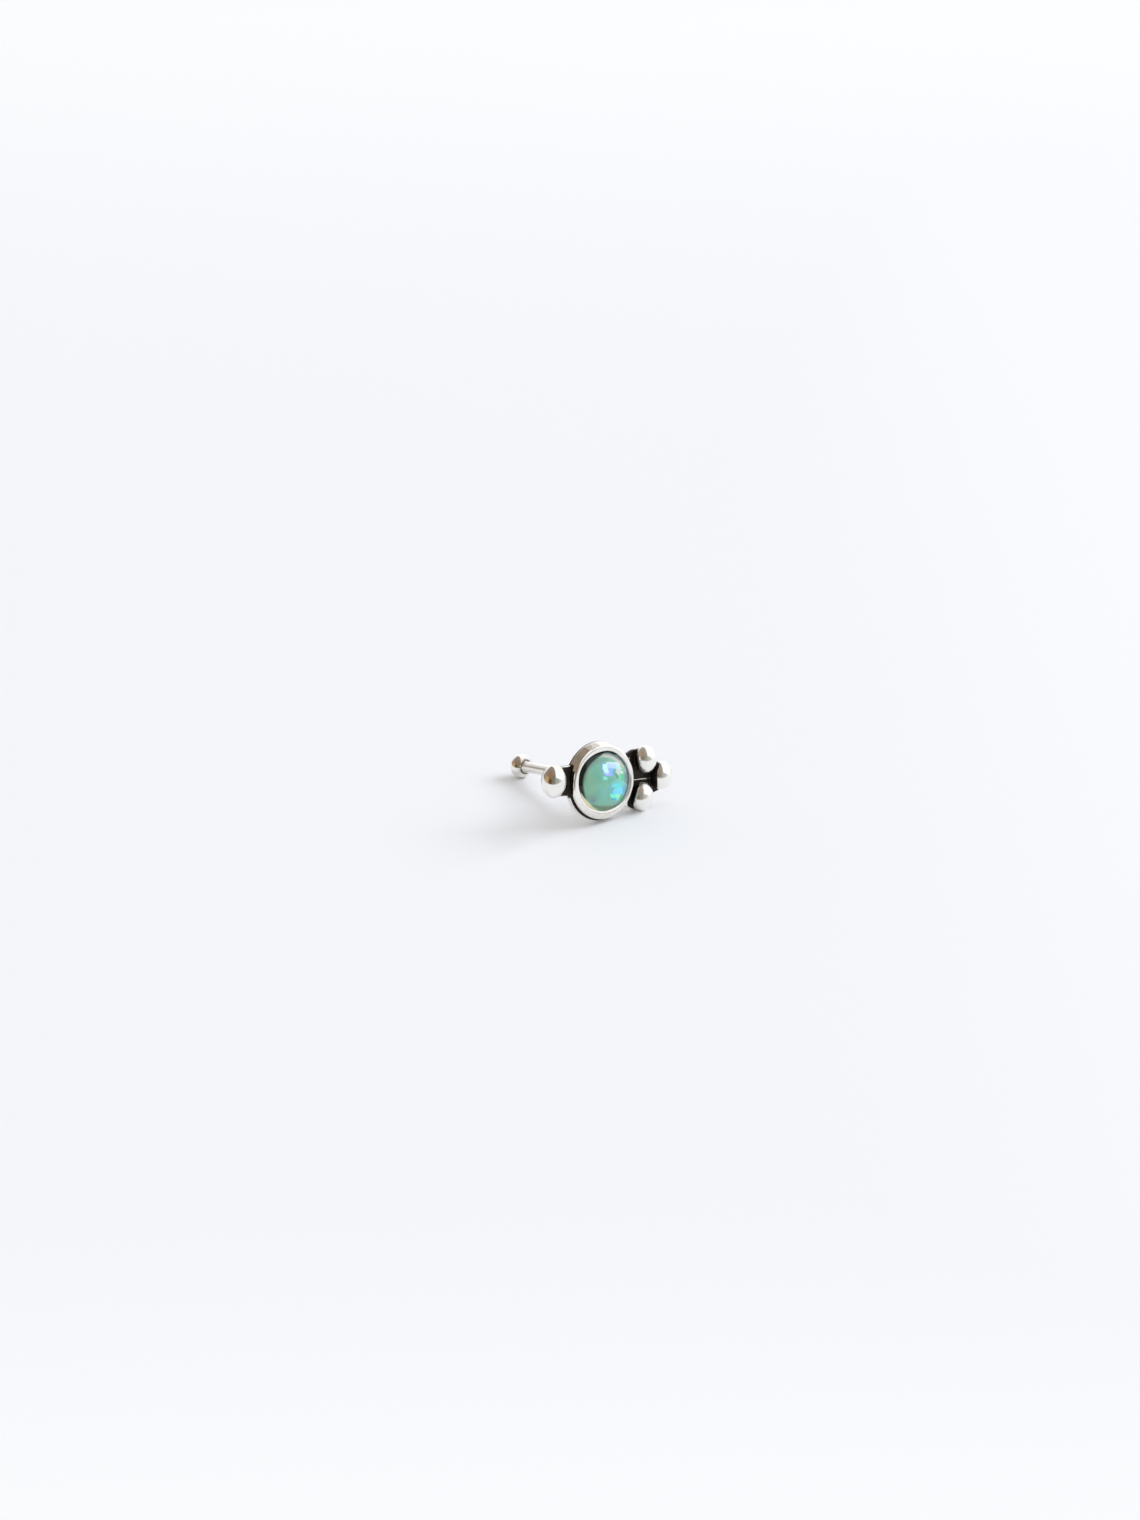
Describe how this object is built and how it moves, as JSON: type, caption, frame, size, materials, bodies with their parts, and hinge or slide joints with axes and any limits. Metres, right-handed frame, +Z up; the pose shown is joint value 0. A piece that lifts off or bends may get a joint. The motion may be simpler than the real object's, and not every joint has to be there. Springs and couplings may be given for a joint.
{
  "type": "nose stud",
  "caption": "Straight nose stud: round opal in a silver bezel with silver granules beside it, and a post that ends in a small ball.",
  "frame": {"origin": "bottom centre of the stud's bounding box, on the surface that it lies on", "axes": "+Z up; the post runs towards +Y and slopes down to its ball end; the face looks towards -Y, tilted up about 12 degrees; the three granules are on the +X side, turned about 12 degrees down"},
  "size_m": [0.0074, 0.0076, 0.0038],
  "materials": {
    "silver": "polished silver, darkened in the recesses",
    "opal": "polished opal cabochon with a play of colour"
  },
  "bodies": {
    "root": {"silver_setting": "silver", "opal_stone": "opal"}
  },
  "joints": []
}
